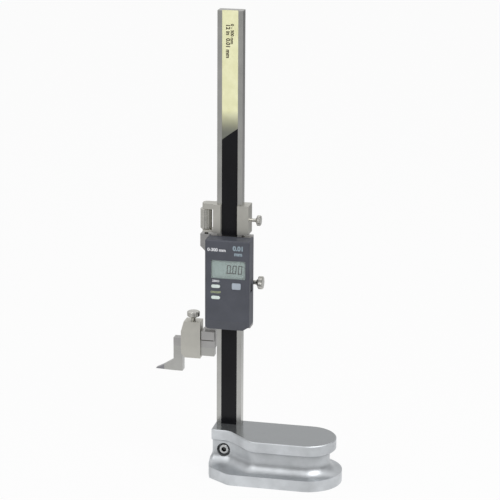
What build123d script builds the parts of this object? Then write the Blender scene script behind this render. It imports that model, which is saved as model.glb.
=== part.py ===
from build123d import *
import math
import os

# Digital height gauge with a 300 mm range, in millimetres.
# The origin is on the lapped underside of the base, straight below the column's centre line.
# +Z runs up the column, +X along the base towards its round end, and -Y is the front, where
# the readout faces. Heights of the slider's parts are given for the pose it is modelled in.

os.makedirs("parts", exist_ok=True)

# ---- Clearances ------------------------------------------------------------------------------
SLIDE_GAP = 0.05          # slider and carriage on the column, sliding faces
THREAD_GAP = 0.05         # radial, screw in its hole
SEAT_GAP = 0.10           # fitted piece in its pocket, each side
BUTTON_GAP = 0.20         # button in its slot, each side

# ---- Measuring -------------------------------------------------------------------------------
MEASURING_RANGE = 300.0   # largest height of the scriber's measuring face
READING = 101.6           # height of the measuring face in the modelled pose
END_MARGIN = 0.1          # column left above the carriage at the largest reading

# ---- Column ----------------------------------------------------------------------------------
COLUMN_WIDTH = 26.0
COLUMN_DEPTH = 11.0
COLUMN_CHAMFER = 0.5
STRIP_WIDTH = 16.4        # scale strip let into the column's front
STRIP_THICKNESS = 0.7
STRIP_RECESS = 0.8
LABEL_THICKNESS = 0.06
LABEL_LENGTH = 119.0      # at its longer, left side it reaches further down
LABEL_SLANT = 12.0
TENON_WIDTH = 20.0        # foot of the column in the base
TENON_DEPTH = 8.0
TENON_LENGTH = 36.0

# ---- Base ------------------------------------------------------------------------------------
BASE_HEIGHT = 47.0
TOP_FLANGE = 11.7
LOW_FLANGE = 11.75
BASE_AXIS_Y = -21.2       # centre line of the base, in front of the column
NOSE_X = 87.0             # centre of the round end
TOP_RADIUS = 29.6
LOW_RADIUS = 35.9
TOP_LEFT = -14.7
LOW_LEFT = -15.8
LOW_SIDE_END = 9.8        # where the low flange's left side ends, in front of the centre line
LOW_CUT_X = 3.3           # its cut-off front left corner, from the left side
LOW_CUT_Y = 20.3
LOW_FRONT_START = 26.4
NECK_FRONT = -24.8
NECK_END = 4.6            # where the neck's front starts to flare
FLARE_END = 33.0          # where the flare meets the straight front
NECK_INSET = 1.1          # waist behind the top flange, round the neck
WAIST_INSET = 6.5         # waist behind the top flange, elsewhere
COVE_RADIUS = 12.0        # sweep from the waist out to the lower flange
FLANGE_EDGE = 0.8
CORNER_ROUND = 3.0
FLARE_ROUND = 16.0
BACK_FLARE = 14.0         # length of the waist's flare at the back
RELIEF_DEPTH = 1.0        # relieved middle of the underside
RELIEF_RIM = 9.0
RELIEF_START = 24.0

# ---- Column clamp screw, M6 socket head --------------------------------------------------------
CLAMP_SCREW_X = -1.2
CLAMP_SCREW_DROP = 21.6   # below the base's top
CLAMP_SCREW_D = 6.0
CLAMP_HEAD_D = 10.0
CLAMP_HEAD_LENGTH = 6.0
CLAMP_HEX = 5.0
CLAMP_BORE_D = 14.4       # counterbore round the head
CLAMP_BORE_FRONT = 12.0   # room cut for it in front of the neck, through flare and cove
CLAMP_SINK = 0.6          # head below the face of the neck

# ---- Scriber and jaw -------------------------------------------------------------------------
SHANK = 9.0               # square shank, and the jaw's width
SHANK_LENGTH = 43.3
SCRIBER_DROP = 18.4       # measuring face to the shank's underside
JAW_HEIGHT = 8.5
JAW_REACH = 44.35         # jaw's free end beyond the slider's arm
LEG_LENGTH = 9.6
BLADE_REACH = 19.4        # blade's tip beyond the shank's end
BLADE_ROOT = 11.4         # height of the blade at the shank's end
BLADE_KNEE = 12.4         # from the shank's end to where the slope eases
KNEE_HEIGHT = 3.8
TIP_HEIGHT = 0.5
TIP_WIDTH = 5.0
CARBIDE_LENGTH = 9.0

# ---- Scriber clamp ---------------------------------------------------------------------------
CLAMP_LEFT = 8.5          # clamp box from the jaw's free end
CLAMP_WIDTH = 20.6
CLAMP_TOP_WIDTH = 17.4
CLAMP_DEPTH = 14.0
CLAMP_RISE = 19.3         # box above the jaw
CLAMP_SHOULDER = 8.2      # where the side starts to slope in, above the jaw
CLAMP_FLOOR = 2.5
CLAMP_CORNER = 4.2
WINDOW_HEADROOM = 1.0     # window above the jaw

# ---- Slider frame ----------------------------------------------------------------------------
FRAME_LIFT = 17.6         # frame's bottom above the jaw's top
FRAME_HEIGHT = 96.4
FRONT_WALL = 3.0
LEFT_WALL = 6.2
RIGHT_WALL = 7.3
FLANGE_WIDTH = 6.7        # web on the left that carries jaw arm and feed rod
FLANGE_FRONT = -3.9
ARM_DEPTH = 17.0          # root block of the jaw
ARM_WIDTH = 14.25
ARM_RISE = 10.2           # root block above the jaw
ARM_SET_BACK = 2.2        # arm's right face from the column, to pass the base
LUG_REACH = 5.0           # feed-rod lug beyond the flange
LUG_HEIGHT = 13.0
GIB_THICKNESS = 2.4
GIB_MARGIN = 4.0
BACK_PLATE = 3.5
PLATE_MARGIN = 2.0
PLATE_INSET = 0.5         # back plate inside the frame's sides

# ---- Read head -------------------------------------------------------------------------------
HEAD_WIDTH = 15.8
HEAD_HEIGHT = 63.8
HEAD_RIM = 2.2
HEAD_BOARD = 1.2

# ---- Readout housing -------------------------------------------------------------------------
HOUSING_WALL = 2.0
HOUSING_FRONT = -25.0
HOUSING_DROP = 0.5        # housing's bottom above the frame's bottom
HOUSING_BACK = -4.0       # how far the side walls reach back over the frame
BEVEL_HEIGHT = 10.8
BEVEL_DEPTH = 5.0
SIDE_ROUND = 2.4
TOP_ROUND = 1.4
RIGHT_CORNER_X = 5.2
RIGHT_CORNER_Z = 7.5
LEFT_CORNER = 2.0

# ---- Display ---------------------------------------------------------------------------------
DISPLAY_HEIGHT = 19.3     # seen area
DISPLAY_LEFT = 6.75       # from the housing's left side
DISPLAY_RIGHT = 4.0       # from the housing's right side
DISPLAY_TOP = 20.9        # from the housing's top
DISPLAY_LIP = 0.8
DISPLAY_REBATE = 1.0
MODULE_MARGIN = 1.1
BOARD_SETBACK = 4.0       # circuit board behind the housing's front wall
BOARD_THICKNESS = 1.2
BOARD_MARGIN = 1.05       # board inside the housing's side walls
BOARD_TOP = 11.0          # board below the housing's top
BOARD_BATTERY_GAP = 1.2   # board above the battery's ring

# ---- Buttons ---------------------------------------------------------------------------------
BUTTON_WIDTH = 9.2
OVAL_HEIGHT = 3.4
SQUARE_HEIGHT = 6.6
SQUARE_ROUND = 1.2
BUTTON_PROUD = 0.9
BUTTON_RIM = 0.9
BUTTON_RIM_THICKNESS = 0.8
BUTTON_TRAVEL = 0.5
LEFT_BUTTON_X = 11.55     # from the housing's left side
RIGHT_BUTTON_X = 13.2     # from the housing's right side
UPPER_BUTTON_Z = 48.5     # from the housing's top
LOWER_BUTTON_Z = 60.4
RIGHT_BUTTON_Z = 47.4
SWITCH_WIDTH = 4.0
SWITCH_HEIGHT = 3.0

# ---- Battery and data port -------------------------------------------------------------------
BATTERY_D = 11.6
BATTERY_THICKNESS = 5.4
BATTERY_RING = 1.4
BATTERY_RISE = 15.9       # from the housing's bottom
COIN_SLOT = 1.4
CONTACT_THICKNESS = 0.3
CONTACT_FOOT = 4.0        # leaf's foot on the board
PORT_SIZE = 8.5
PORT_DROP = 51.2          # from the housing's top
PORT_DEPTH = 8.0

# ---- Fine-feed carriage ----------------------------------------------------------------------
CARRIAGE_LIFT = 2.5       # carriage above the slider frame
CARRIAGE_HEIGHT = 30.0
CARRIAGE_WALL = 3.45
CARRIAGE_RIGHT = 7.2
CARRIAGE_BACK = 3.5
CARRIAGE_LIP = 4.4        # grip over the column's front rails
LIP_THICKNESS = 3.25
YOKE_FLOOR = 2.6
YOKE_ROOF = 5.7
YOKE_WIDTH = 12.5
YOKE_DEPTH = 12.0
FEED_X = 12.5             # feed rod's axis from the column's left side
FEED_D = 4.0
FEED_ROD_BELOW = 11.5
FEED_ROD_ABOVE = 3.0      # rod above the nut
FEED_DOWN = 1.0           # room over the rod for the carriage to come down
NUT_D = 12.0
NUT_PLAY = 0.1            # end play of the captive nut
NUT_TEETH = 24

# ---- Clamp thumb screws ----------------------------------------------------------------------
SLIDER_SCREW_Z = 47.1     # above the frame's bottom
SLIDER_SCREW_D = 5.0
SLIDER_STEM = 4.4         # bare neck between thread and head
SLIDER_CONE = 2.2         # flare under the head
SLIDER_KNOB_D = 13.6
SLIDER_KNOB_HEIGHT = 5.0
CARRIAGE_SCREW_Z = 14.0   # above the carriage's bottom
CARRIAGE_SCREW_D = 4.0
CARRIAGE_STEM = 5.85
CARRIAGE_CONE = 1.4
CARRIAGE_KNOB_D = 10.9
CARRIAGE_KNOB_HEIGHT = 4.1
SCRIBER_SCREW_D = 5.0
SCRIBER_STEM = 2.4
SCRIBER_CONE = 1.9
SCRIBER_KNOB_D = 13.3
SCRIBER_KNOB_HEIGHT = 5.4
KNOB_TEETH = 24
TIP_LENGTH = 2.0          # brass tip ahead of each screw
TIP_GAP = 0.05
KNURL_DEPTH = 0.35

# ---- Small screws ----------------------------------------------------------------------------
PLATE_SCREW_D = 3.0
PLATE_SCREW_HEAD = 5.5
PLATE_SCREW_RISE = 1.65
PLATE_SCREW_LENGTH = 5.0  # thread in the frame
HOUSING_SCREW_D = 2.5
HOUSING_SCREW_HEAD = 4.5
HOUSING_SCREW_SINK = 2.5
HOUSING_SCREW_BITE = 6.0
BOSS_D = 6.0
GIB_SCREW_D = 3.0
GIB_SCREW_LENGTH = 5.5
BOARD_SCREW_D = 2.0
BOARD_POST_D = 4.0

# ---- Places worked out from the sizes above --------------------------------------------------
half_width = COLUMN_WIDTH / 2
half_depth = COLUMN_DEPTH / 2
base_screw_z = BASE_HEIGHT - CLAMP_SCREW_DROP

shank_bottom = READING + SCRIBER_DROP
jaw_bottom = shank_bottom + SHANK
jaw_top = jaw_bottom + JAW_HEIGHT
arm_right = -half_width - ARM_SET_BACK
jaw_left = arm_right - JAW_REACH
shank_right = jaw_left + SHANK_LENGTH
leg_right = jaw_left + LEG_LENGTH
blade_tip = jaw_left - BLADE_REACH

clamp_left = jaw_left + CLAMP_LEFT
clamp_right = clamp_left + CLAMP_WIDTH
clamp_top = jaw_top + CLAMP_RISE
clamp_screw_x = clamp_right - CLAMP_TOP_WIDTH / 2

frame_bottom = jaw_top + FRAME_LIFT
frame_top = frame_bottom + FRAME_HEIGHT
channel_left = -half_width - SLIDE_GAP
channel_right = half_width + GIB_THICKNESS + 2 * SLIDE_GAP
channel_front = -half_depth - SLIDE_GAP
channel_back = half_depth + SLIDE_GAP
frame_front = channel_front - FRONT_WALL
frame_left = channel_left - LEFT_WALL
frame_right = channel_right + RIGHT_WALL
flange_left = frame_left - FLANGE_WIDTH
plate_back = channel_back + BACK_PLATE

housing_left = frame_left - SEAT_GAP - HOUSING_WALL
housing_right = frame_right + SEAT_GAP + HOUSING_WALL
housing_bottom = frame_bottom + HOUSING_DROP
housing_top = frame_top
wall_inside = HOUSING_FRONT + HOUSING_WALL
board_front = wall_inside + BOARD_SETBACK
board_back = board_front + BOARD_THICKNESS
board_left = housing_left + HOUSING_WALL + BOARD_MARGIN
board_right = housing_right - HOUSING_WALL - BOARD_MARGIN
board_top = housing_top - BOARD_TOP
display_left = housing_left + DISPLAY_LEFT
display_right = housing_right - DISPLAY_RIGHT
display_top = housing_top - DISPLAY_TOP
display_x = (display_left + display_right) / 2
display_z = display_top - DISPLAY_HEIGHT / 2
head_z = frame_bottom + FRAME_HEIGHT / 2 + 2.0
left_button_x = housing_left + LEFT_BUTTON_X
right_button_x = housing_right - RIGHT_BUTTON_X
BUTTONS = {
    "upper_left_button": (left_button_x, housing_top - UPPER_BUTTON_Z, OVAL_HEIGHT),
    "lower_left_button": (left_button_x, housing_top - LOWER_BUTTON_Z, OVAL_HEIGHT),
    "right_button": (right_button_x, housing_top - RIGHT_BUTTON_Z, SQUARE_HEIGHT),
}
port_z = housing_top - PORT_DROP
port_front = board_back
battery_z = housing_bottom + BATTERY_RISE
battery_ring_r = BATTERY_D / 2 + SEAT_GAP + BATTERY_RING
battery_y = frame_front - battery_ring_r - SEAT_GAP
board_bottom = battery_z + battery_ring_r + BOARD_BATTERY_GAP
battery_left = housing_left + HOUSING_WALL + SEAT_GAP / 2
battery_right = battery_left + BATTERY_THICKNESS

carriage_bottom = frame_top + CARRIAGE_LIFT
carriage_top = carriage_bottom + CARRIAGE_HEIGHT
carriage_left = channel_left - CARRIAGE_WALL
carriage_right = half_width + SLIDE_GAP + CARRIAGE_RIGHT
feed_x = -half_width - FEED_X
nut_bottom = carriage_bottom + YOKE_FLOOR + NUT_PLAY
nut_top = carriage_top - YOKE_ROOF - NUT_PLAY
feed_rod_top = nut_top + FEED_ROD_ABOVE
column_top = MEASURING_RANGE + carriage_top - READING + END_MARGIN

slider_screw_z = frame_bottom + SLIDER_SCREW_Z
carriage_screw_z = carriage_bottom + CARRIAGE_SCREW_Z
left_wall_x = channel_left - LEFT_WALL / 2
right_wall_x = channel_right + RIGHT_WALL / 2
plate_screw_zs = [frame_bottom + share * FRAME_HEIGHT for share in (0.2, 0.6, 0.86)]
housing_screw_zs = [frame_bottom + share * FRAME_HEIGHT for share in (0.061, 0.933)]
gib_screw_zs = [frame_bottom + share * FRAME_HEIGHT for share in (0.15, 0.78)]


# ---- Helpers ---------------------------------------------------------------------------------
def block(x, y, z):
    """Rectangular solid between two values on each axis."""
    size = (x[1] - x[0], y[1] - y[0], z[1] - z[0])
    return Pos((x[0] + x[1]) / 2, (y[0] + y[1]) / 2, (z[0] + z[1]) / 2) * Box(*size)


def bar(diameter, start, direction, length):
    """Round bar from a point along a direction."""
    return extrude(Plane(origin=start, z_dir=direction) * Circle(diameter / 2), length)


def across_y(points, y0, y1):
    """Outline in X and Z, extruded from y0 to y1."""
    return extrude(Plane.XZ.offset(-y1) * Polygon(*points, align=None), y1 - y0, dir=(0, -1, 0))


def across_x(points, x0, x1):
    """Outline in Y and Z, extruded from x0 to x1."""
    return extrude(Plane.YZ.offset(x0) * Polygon(*points, align=None), x1 - x0, dir=(1, 0, 0))


def up_z(face, z0, z1):
    """Flat outline in X and Y, extruded from z0 to z1."""
    return extrude(Plane.XY.offset(z0) * face, z1 - z0, dir=(0, 0, 1))


def pattern(pieces):
    """Several separate solids in one node."""
    return Compound(children=[piece for piece in pieces])


def rounded(outline, corners):
    """Outline with the corner nearest each named point rounded."""
    for point, radius in corners:
        corner = outline.vertices().sort_by_distance((point[0], point[1], 0))[0]
        outline = fillet(corner, radius)
    return outline


# ---- Base and column -------------------------------------------------------------------------
def base_outline(left, radius, neck_front, steps):
    """One level of the base: a neck at the column, a flared front and a round end."""
    front = BASE_AXIS_Y - radius
    back = BASE_AXIS_Y + radius
    neck_back = steps[-1][1] if steps else back
    nose = ThreePointArc((NOSE_X, front), (NOSE_X + radius, BASE_AXIS_Y), (NOSE_X, back))
    sides = Polyline((NOSE_X, back), *steps, (left, neck_back), (left, neck_front),
                     (NECK_END, neck_front), (FLARE_END, front), (NOSE_X, front))
    outline = make_face((sides + nose).edges())
    return rounded(outline, [
        ((left, neck_back), CORNER_ROUND),
        ((left, neck_front), CORNER_ROUND),
        ((NECK_END, neck_front), FLARE_ROUND),
        ((FLARE_END, front), FLARE_ROUND),
        *[(step, FLARE_ROUND) for step in steps],
    ])


def low_outline():
    """Lower flange: rectangular at the back left, cut off at the front left."""
    front = BASE_AXIS_Y - LOW_RADIUS
    back = BASE_AXIS_Y + LOW_RADIUS
    side_end = (LOW_LEFT, BASE_AXIS_Y - LOW_SIDE_END)
    cut_start = (LOW_LEFT + LOW_CUT_X, BASE_AXIS_Y - LOW_CUT_Y)
    cut_end = (LOW_LEFT + LOW_FRONT_START, front)
    points = [(NOSE_X, back), (LOW_LEFT, back), side_end, cut_start, cut_end, (NOSE_X, front)]
    arc = ThreePointArc((NOSE_X, front), (NOSE_X + LOW_RADIUS, BASE_AXIS_Y), (NOSE_X, back))
    outline = make_face((Polyline(*points) + arc).edges())
    return rounded(outline, [
        ((LOW_LEFT, back), CORNER_ROUND),
        (side_end, 3 * CORNER_ROUND),
        (cut_start, CORNER_ROUND),
        (cut_end, 3 * CORNER_ROUND),
    ])


def make_base():
    """Casting with two flanges, a coved waist, and a socket for the column's foot."""
    top_back = BASE_AXIS_Y + TOP_RADIUS
    waist_radius = TOP_RADIUS - WAIST_INSET
    waist_left = TOP_LEFT + NECK_INSET
    neck_back = top_back - NECK_INSET
    steps = [(FLARE_END, BASE_AXIS_Y + waist_radius), (FLARE_END - BACK_FLARE, neck_back)]
    waist = base_outline(waist_left, waist_radius, NECK_FRONT + NECK_INSET, steps)
    top = base_outline(TOP_LEFT, TOP_RADIUS, NECK_FRONT, [])
    low = low_outline()

    # The cove is rolled on a plate wider than the flange, then trimmed to the flange's outline.
    reach = 3 * COVE_RADIUS
    plate = block((LOW_LEFT - reach, NOSE_X + LOW_RADIUS + reach),
                  (BASE_AXIS_Y - LOW_RADIUS - reach, BASE_AXIS_Y + LOW_RADIUS + reach),
                  (0, LOW_FLANGE))
    body = plate + up_z(waist, 0, BASE_HEIGHT)
    foot = body.edges().filter_by_position(Axis.Z, LOW_FLANGE, LOW_FLANGE, (True, True))
    body = fillet(foot.filter_by(lambda e: e.length < 3 * reach), COVE_RADIUS)
    body = body & up_z(low, 0, BASE_HEIGHT)

    flange = up_z(top, BASE_HEIGHT - TOP_FLANGE, BASE_HEIGHT)
    flange = chamfer(flange.faces().sort_by(Axis.Z)[-1].edges(), FLANGE_EDGE)
    flange = chamfer(flange.faces().sort_by(Axis.Z)[0].edges(), FLANGE_EDGE)
    body = body + flange

    relief = offset(low, -RELIEF_RIM) & Pos(NOSE_X + RELIEF_START, BASE_AXIS_Y) * Rectangle(
        2 * NOSE_X, 4 * LOW_RADIUS)
    body = body - up_z(relief, 0, RELIEF_DEPTH)

    socket_half = (TENON_WIDTH / 2 + SLIDE_GAP, TENON_DEPTH / 2 + SLIDE_GAP)
    body = body - block((-socket_half[0], socket_half[0]), (-socket_half[1], socket_half[1]),
                        (BASE_HEIGHT - TENON_LENGTH - SEAT_GAP, BASE_HEIGHT))
    face_y = NECK_FRONT + NECK_INSET
    start = (CLAMP_SCREW_X, face_y, base_screw_z)
    bore_start = (CLAMP_SCREW_X, face_y - CLAMP_BORE_FRONT, base_screw_z)
    body = body - bar(CLAMP_BORE_D, bore_start, (0, 1, 0),
                      CLAMP_BORE_FRONT + CLAMP_HEAD_LENGTH + CLAMP_SINK)
    return body - bar(CLAMP_SCREW_D + 2 * SEAT_GAP, start, (0, 1, 0), -face_y)


def make_column_clamp_screw():
    """M6 socket head cap screw through the neck into the column's foot."""
    head_y = NECK_FRONT + NECK_INSET + CLAMP_SINK
    start = (CLAMP_SCREW_X, head_y, base_screw_z)
    head = bar(CLAMP_HEAD_D, start, (0, 1, 0), CLAMP_HEAD_LENGTH)
    head = chamfer(head.edges().group_by(Axis.Y)[0], 0.5)
    length = TENON_DEPTH / 2 - head_y
    screw = head + bar(CLAMP_SCREW_D, start, (0, 1, 0), length)
    hexagon = Plane(origin=start, z_dir=(0, 1, 0)) * RegularPolygon(CLAMP_HEX / 2, 6, major_radius=False)
    return screw - extrude(hexagon, CLAMP_HEX / 2)


def make_column():
    """Ground beam with a recess for the scale strip and a reduced foot."""
    column = block((-half_width, half_width), (-half_depth, half_depth), (BASE_HEIGHT, column_top))
    column = chamfer(column.edges().group_by(Axis.Z)[-1], COLUMN_CHAMFER)
    column = column - block((-STRIP_WIDTH / 2, STRIP_WIDTH / 2),
                            (-half_depth, -half_depth + STRIP_RECESS), (BASE_HEIGHT, column_top))
    foot = block((-TENON_WIDTH / 2, TENON_WIDTH / 2), (-TENON_DEPTH / 2, TENON_DEPTH / 2),
                 (BASE_HEIGHT - TENON_LENGTH, BASE_HEIGHT))
    hole = bar(CLAMP_SCREW_D + 2 * THREAD_GAP, (CLAMP_SCREW_X, -TENON_DEPTH, base_screw_z),
               (0, 1, 0), 2 * TENON_DEPTH)
    return column + foot - hole


def make_scale_strip():
    """Black scale strip, the full length of the column's recess."""
    back = -half_depth + STRIP_RECESS
    return block((-STRIP_WIDTH / 2 + SLIDE_GAP, STRIP_WIDTH / 2 - SLIDE_GAP),
                 (back - STRIP_THICKNESS, back), (BASE_HEIGHT, column_top))


def make_scale_label():
    """Cream label on the top of the strip, with a slanted lower end."""
    half = STRIP_WIDTH / 2 - SLIDE_GAP
    strip_face = -half_depth + STRIP_RECESS - STRIP_THICKNESS
    end = column_top - LABEL_LENGTH
    points = [(-half, column_top), (-half, end - LABEL_SLANT), (half, end), (half, column_top)]
    return across_y(points, strip_face - LABEL_THICKNESS, strip_face)


# ---- Slider ----------------------------------------------------------------------------------
def make_slider_frame():
    """Channel round the column, with a web on the left for the jaw arm and the feed rod."""
    section = Polygon(
        (frame_left, frame_front), (frame_right, frame_front), (frame_right, channel_back),
        (channel_right, channel_back), (channel_right, channel_front),
        (channel_left, channel_front), (channel_left, channel_back), (flange_left, channel_back),
        (flange_left, FLANGE_FRONT), (frame_left, FLANGE_FRONT), align=None)
    frame = up_z(section, frame_bottom, frame_top)
    lug = [(flange_left, frame_top), (flange_left - LUG_REACH, frame_top),
           (flange_left - LUG_REACH, frame_top - LUG_HEIGHT),
           (flange_left, frame_top - LUG_HEIGHT - LUG_REACH)]
    frame = frame + across_y(lug, FLANGE_FRONT, channel_back)

    half_arm = ARM_DEPTH / 2
    root = block((arm_right - ARM_WIDTH, arm_right), (-half_arm, half_arm),
                 (jaw_top, jaw_top + ARM_RISE))
    root = fillet(root.edges().filter_by(Axis.Z).group_by(Axis.X)[0], 1.5)
    neck = block((flange_left, arm_right), (FLANGE_FRONT, channel_back), (jaw_top, frame_bottom))
    jaw = block((jaw_left, arm_right), (-SHANK / 2, SHANK / 2), (jaw_bottom, jaw_top))
    frame = frame + root + neck + jaw

    window = (HEAD_WIDTH / 2 + SEAT_GAP, HEAD_HEIGHT / 2 + SEAT_GAP)
    frame = frame - block((-window[0], window[0]), (frame_front, channel_front),
                          (head_z - window[1], head_z + window[1]))
    frame = frame - bar(SLIDER_SCREW_D + 2 * THREAD_GAP, (channel_right, 0, slider_screw_z),
                        (1, 0, 0), RIGHT_WALL)
    for z in gib_screw_zs:
        frame = frame - bar(GIB_SCREW_D + 2 * THREAD_GAP, (channel_right, 0, z), (1, 0, 0), RIGHT_WALL)
    for x in (left_wall_x, right_wall_x):
        for z in plate_screw_zs:
            frame = frame - bar(PLATE_SCREW_D + 2 * THREAD_GAP, (x, channel_back, z), (0, -1, 0),
                                PLATE_SCREW_LENGTH + SEAT_GAP)
        for z in housing_screw_zs:
            frame = frame - bar(HOUSING_SCREW_HEAD + 2 * SEAT_GAP, (x, channel_back, z),
                                (0, -1, 0), HOUSING_SCREW_SINK)
            frame = frame - bar(HOUSING_SCREW_D + 2 * SEAT_GAP, (x, channel_back, z), (0, -1, 0),
                                channel_back - frame_front)
    return frame - bar(FEED_D + 2 * THREAD_GAP, (feed_x, 0, frame_top), (0, 0, -1), FEED_ROD_BELOW)


def make_slider_gib():
    """Strip between the frame's right wall and the column."""
    return block((half_width + SLIDE_GAP, channel_right - SLIDE_GAP),
                 (channel_front + SEAT_GAP, channel_back - SEAT_GAP),
                 (frame_bottom + GIB_MARGIN, frame_top - GIB_MARGIN))


def make_gib_screws():
    """Two set screws that press the gib, slotted at their outer end."""
    screws = []
    for z in gib_screw_zs:
        start = channel_right - SLIDE_GAP
        screw = bar(GIB_SCREW_D, (start, 0, z), (1, 0, 0), GIB_SCREW_LENGTH)
        slot = block((start + GIB_SCREW_LENGTH - 1.0, start + GIB_SCREW_LENGTH),
                     (-GIB_SCREW_D, GIB_SCREW_D), (z - 0.3, z + 0.3))
        screws.append(screw - slot)
    return pattern(screws)


def make_back_plate():
    """Plate that closes the slider's channel behind the column."""
    plate = block((frame_left + PLATE_INSET, frame_right - PLATE_INSET),
                  (channel_back, plate_back),
                  (frame_bottom + PLATE_MARGIN, frame_top - PLATE_MARGIN))
    plate = chamfer(plate.faces().sort_by(Axis.Y)[-1].edges(), 0.6)
    for x in (left_wall_x, right_wall_x):
        for z in plate_screw_zs:
            plate = plate - bar(PLATE_SCREW_D + 2 * SEAT_GAP, (x, channel_back, z), (0, 1, 0), BACK_PLATE)
    return plate


def make_plate_screws():
    """Six button head screws of the back plate."""
    screws = []
    for x in (left_wall_x, right_wall_x):
        for z in plate_screw_zs:
            head = bar(PLATE_SCREW_HEAD, (x, plate_back, z), (0, 1, 0), PLATE_SCREW_RISE)
            shaft = bar(PLATE_SCREW_D, (x, plate_back, z), (0, -1, 0), BACK_PLATE + PLATE_SCREW_LENGTH)
            socket = Plane(origin=(x, plate_back + PLATE_SCREW_RISE, z), z_dir=(0, -1, 0))
            socket = socket * RegularPolygon(PLATE_SCREW_D / 3, 6, major_radius=False)
            screws.append(head + shaft - extrude(socket, PLATE_SCREW_RISE * 0.8))
    return pattern(screws)


def make_feed_rod():
    """Threaded rod fixed in the slider's lug, up through the carriage."""
    bottom = frame_top - FEED_ROD_BELOW
    feed_rod = bar(FEED_D, (feed_x, 0, bottom), (0, 0, 1), feed_rod_top - bottom)
    return chamfer(feed_rod.edges().group_by(Axis.Z)[-1], 0.4)


# ---- Readout ---------------------------------------------------------------------------------
def housing_side(inset):
    """Side view of the housing, its front leaning back at the bottom."""
    front = HOUSING_FRONT + inset
    bottom = housing_bottom + inset
    top = housing_top - inset
    bevel_top = housing_bottom + BEVEL_HEIGHT + inset / 2
    return [(front, top), (front, bevel_top), (front + BEVEL_DEPTH, bottom),
            (HOUSING_BACK, bottom), (HOUSING_BACK, top)]


def make_housing():
    """Moulded shell, open at the back, that fits over the front of the slider frame."""
    shell = across_x(housing_side(0), housing_left, housing_right)
    low = shell.edges().filter_by(Axis.Y).group_by(Axis.Z)[0].sort_by(Axis.X)
    shell = chamfer(low[-1], RIGHT_CORNER_Z, RIGHT_CORNER_X)
    low = shell.edges().filter_by(Axis.Y).group_by(Axis.Z)[0].sort_by(Axis.X)
    shell = chamfer(low[0], LEFT_CORNER)
    uprights = shell.edges().filter_by(Axis.Z).group_by(Axis.Y)[0]
    shell = fillet(uprights, SIDE_ROUND)
    rim = shell.edges().group_by(Axis.Z)[-1].filter_by(lambda e: e.center().Y < HOUSING_BACK - 1)
    shell = fillet(rim, TOP_ROUND)

    solid_form = shell
    inside = across_x(housing_side(HOUSING_WALL), housing_left + HOUSING_WALL,
                      housing_right - HOUSING_WALL)
    low = inside.edges().filter_by(Axis.Y).group_by(Axis.Z)[0].sort_by(Axis.X)
    inside = chamfer(low[-1], RIGHT_CORNER_Z, RIGHT_CORNER_X)
    shell = shell - inside
    shell = shell - block((frame_left - SEAT_GAP, frame_right + SEAT_GAP),
                          (frame_front, HOUSING_BACK), (housing_bottom, housing_top))

    for x in (left_wall_x, right_wall_x):
        for z in housing_screw_zs:
            boss = bar(BOSS_D, (x, wall_inside, z), (0, 1, 0), frame_front - wall_inside) & solid_form
            hole = bar(HOUSING_SCREW_D + 2 * THREAD_GAP, (x, frame_front, z), (0, -1, 0),
                       HOUSING_SCREW_BITE + SEAT_GAP)
            shell = shell + boss - hole
    for x, z in board_post_places():
        post = bar(BOARD_POST_D, (x, wall_inside, z), (0, 1, 0), BOARD_SETBACK)
        hole = bar(BOARD_SCREW_D + 2 * THREAD_GAP, (x, board_front, z), (0, -1, 0), BOARD_SETBACK * 0.8)
        shell = shell + post - hole

    opening = block((display_left, display_right), (HOUSING_FRONT, wall_inside),
                    (display_top - DISPLAY_HEIGHT, display_top))
    margin = DISPLAY_REBATE + SEAT_GAP
    rebate = block((display_left - margin, display_right + margin),
                   (HOUSING_FRONT + DISPLAY_LIP, wall_inside),
                   (display_top - DISPLAY_HEIGHT - margin, display_top + margin))
    shell = shell - opening - rebate
    for x, z, height in BUTTONS.values():
        shell = shell - button_prism(x, z, height, BUTTON_GAP, HOUSING_FRONT, wall_inside)

    ring_start = (housing_left + HOUSING_WALL, battery_y, battery_z)
    ring = bar(2 * battery_ring_r, ring_start, (1, 0, 0), battery_right - ring_start[0])
    pocket = bar(BATTERY_D + 2 * SEAT_GAP, ring_start, (1, 0, 0), BATTERY_THICKNESS + SEAT_GAP)
    cap_hole = bar(battery_cap_diameter() + 2 * SEAT_GAP, (housing_left, battery_y, battery_z),
                   (1, 0, 0), HOUSING_WALL + SEAT_GAP)
    shell = shell + ring - pocket - cap_hole
    port = block((housing_right - HOUSING_WALL, housing_right),
                 (port_front - SEAT_GAP, port_front + PORT_SIZE + SEAT_GAP),
                 (port_z - PORT_SIZE / 2 - SEAT_GAP, port_z + PORT_SIZE / 2 + SEAT_GAP))
    return shell - port


def battery_cap_diameter():
    """The cap is a little wider than the battery it lets out."""
    return BATTERY_D + 2 * SEAT_GAP + BATTERY_RING


def board_post_places():
    """Corners of the circuit board where a post carries it."""
    inset = BOARD_POST_D / 2
    return [(x, z) for x in (board_left + inset, board_right - inset)
            for z in (board_bottom + inset, board_top - inset)]


def button_prism(x, z, height, margin, y0, y1):
    """Button outline, grown by a margin, between two depths: oval when low, else rounded square."""
    width = BUTTON_WIDTH + 2 * margin
    tall = height + 2 * margin
    radius = SQUARE_ROUND + margin if height > OVAL_HEIGHT else tall / 2 - 0.01
    face = RectangleRounded(width, tall, radius)
    return extrude(Plane.XZ.offset(-y1) * Pos(x, z) * face, y1 - y0)


def make_button(x, z, height):
    """Cap through the front wall, with a rim behind the wall that keeps it in."""
    cap = button_prism(x, z, height, 0, HOUSING_FRONT - BUTTON_PROUD, wall_inside)
    cap = chamfer(cap.edges().group_by(Axis.Y)[0], 0.3)
    rim_back = wall_inside + BUTTON_RIM_THICKNESS
    rim = button_prism(x, z, height, BUTTON_RIM, wall_inside, rim_back)
    plunger = bar(SWITCH_HEIGHT / 2, (x, rim_back, z), (0, 1, 0), 0.5)
    return cap + rim + plunger


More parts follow.
